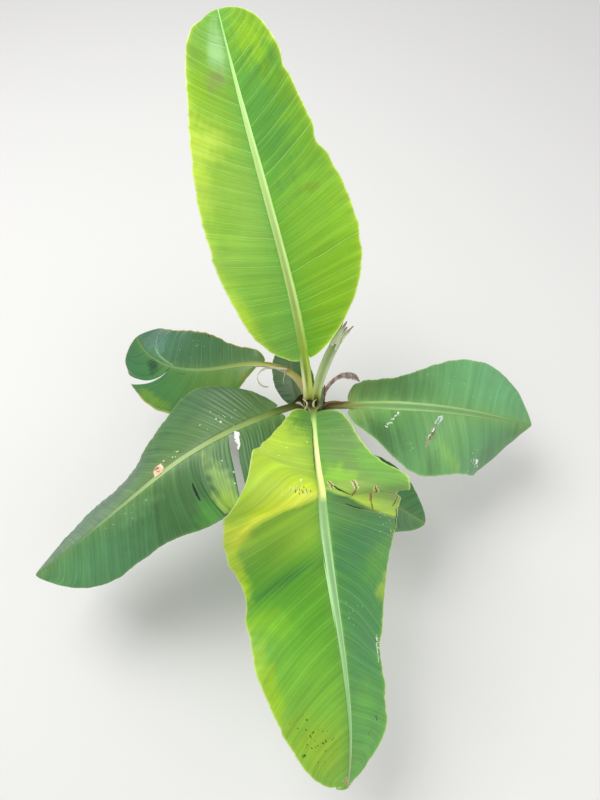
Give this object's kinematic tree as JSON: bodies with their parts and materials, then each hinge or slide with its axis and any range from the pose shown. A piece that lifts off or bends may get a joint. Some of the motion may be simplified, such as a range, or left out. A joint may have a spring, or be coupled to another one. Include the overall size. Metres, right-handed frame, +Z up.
{
  "type": "banana plant",
  "caption": "Young banana plant: a short stem of wrapped leaf sheaths with broad arching leaves, a torn leaf stalk and a curled dry leaf, cut flat at ground level.",
  "frame": {"origin": "middle of the flat cut under the stem, at ground level", "axes": "+Z up, +Y from the stem towards the newest, upright leaf, +X to the right of that"},
  "size_m": [0.9379, 0.9446, 0.84],
  "materials": {
    "stem_sheath": "satin plant tissue",
    "leaf_stalk": "satin plant tissue",
    "old_stalk": "dull dry tissue",
    "blade_young": "waxy leaf",
    "blade_sunlit": "waxy leaf",
    "blade_mature": "waxy leaf",
    "blade_shaded": "waxy leaf",
    "dry_leaf": "matt dry tissue"
  },
  "bodies": {
    "root": {"pseudostem": "stem_sheath", "leaf_top_stalk": "leaf_stalk", "leaf_top_blade": "blade_young", "leaf_front_stalk": "leaf_stalk", "leaf_front_blade_inner": "blade_sunlit", "leaf_front_blade_outer": "blade_sunlit", "leaf_left_stalk": "leaf_stalk", "leaf_left_blade": "blade_mature", "leaf_right_stalk": "leaf_stalk", "leaf_right_blade": "blade_mature", "leaf_back_left_stalk": "old_stalk", "leaf_back_left_blade": "blade_mature", "leaf_low_right_stalk": "leaf_stalk", "leaf_low_right_blade": "blade_shaded", "leaf_low_back_stalk": "leaf_stalk", "leaf_low_back_blade": "blade_shaded", "torn_leaf_stalk": "leaf_stalk", "dry_leaf": "dry_leaf"}
  },
  "joints": []
}
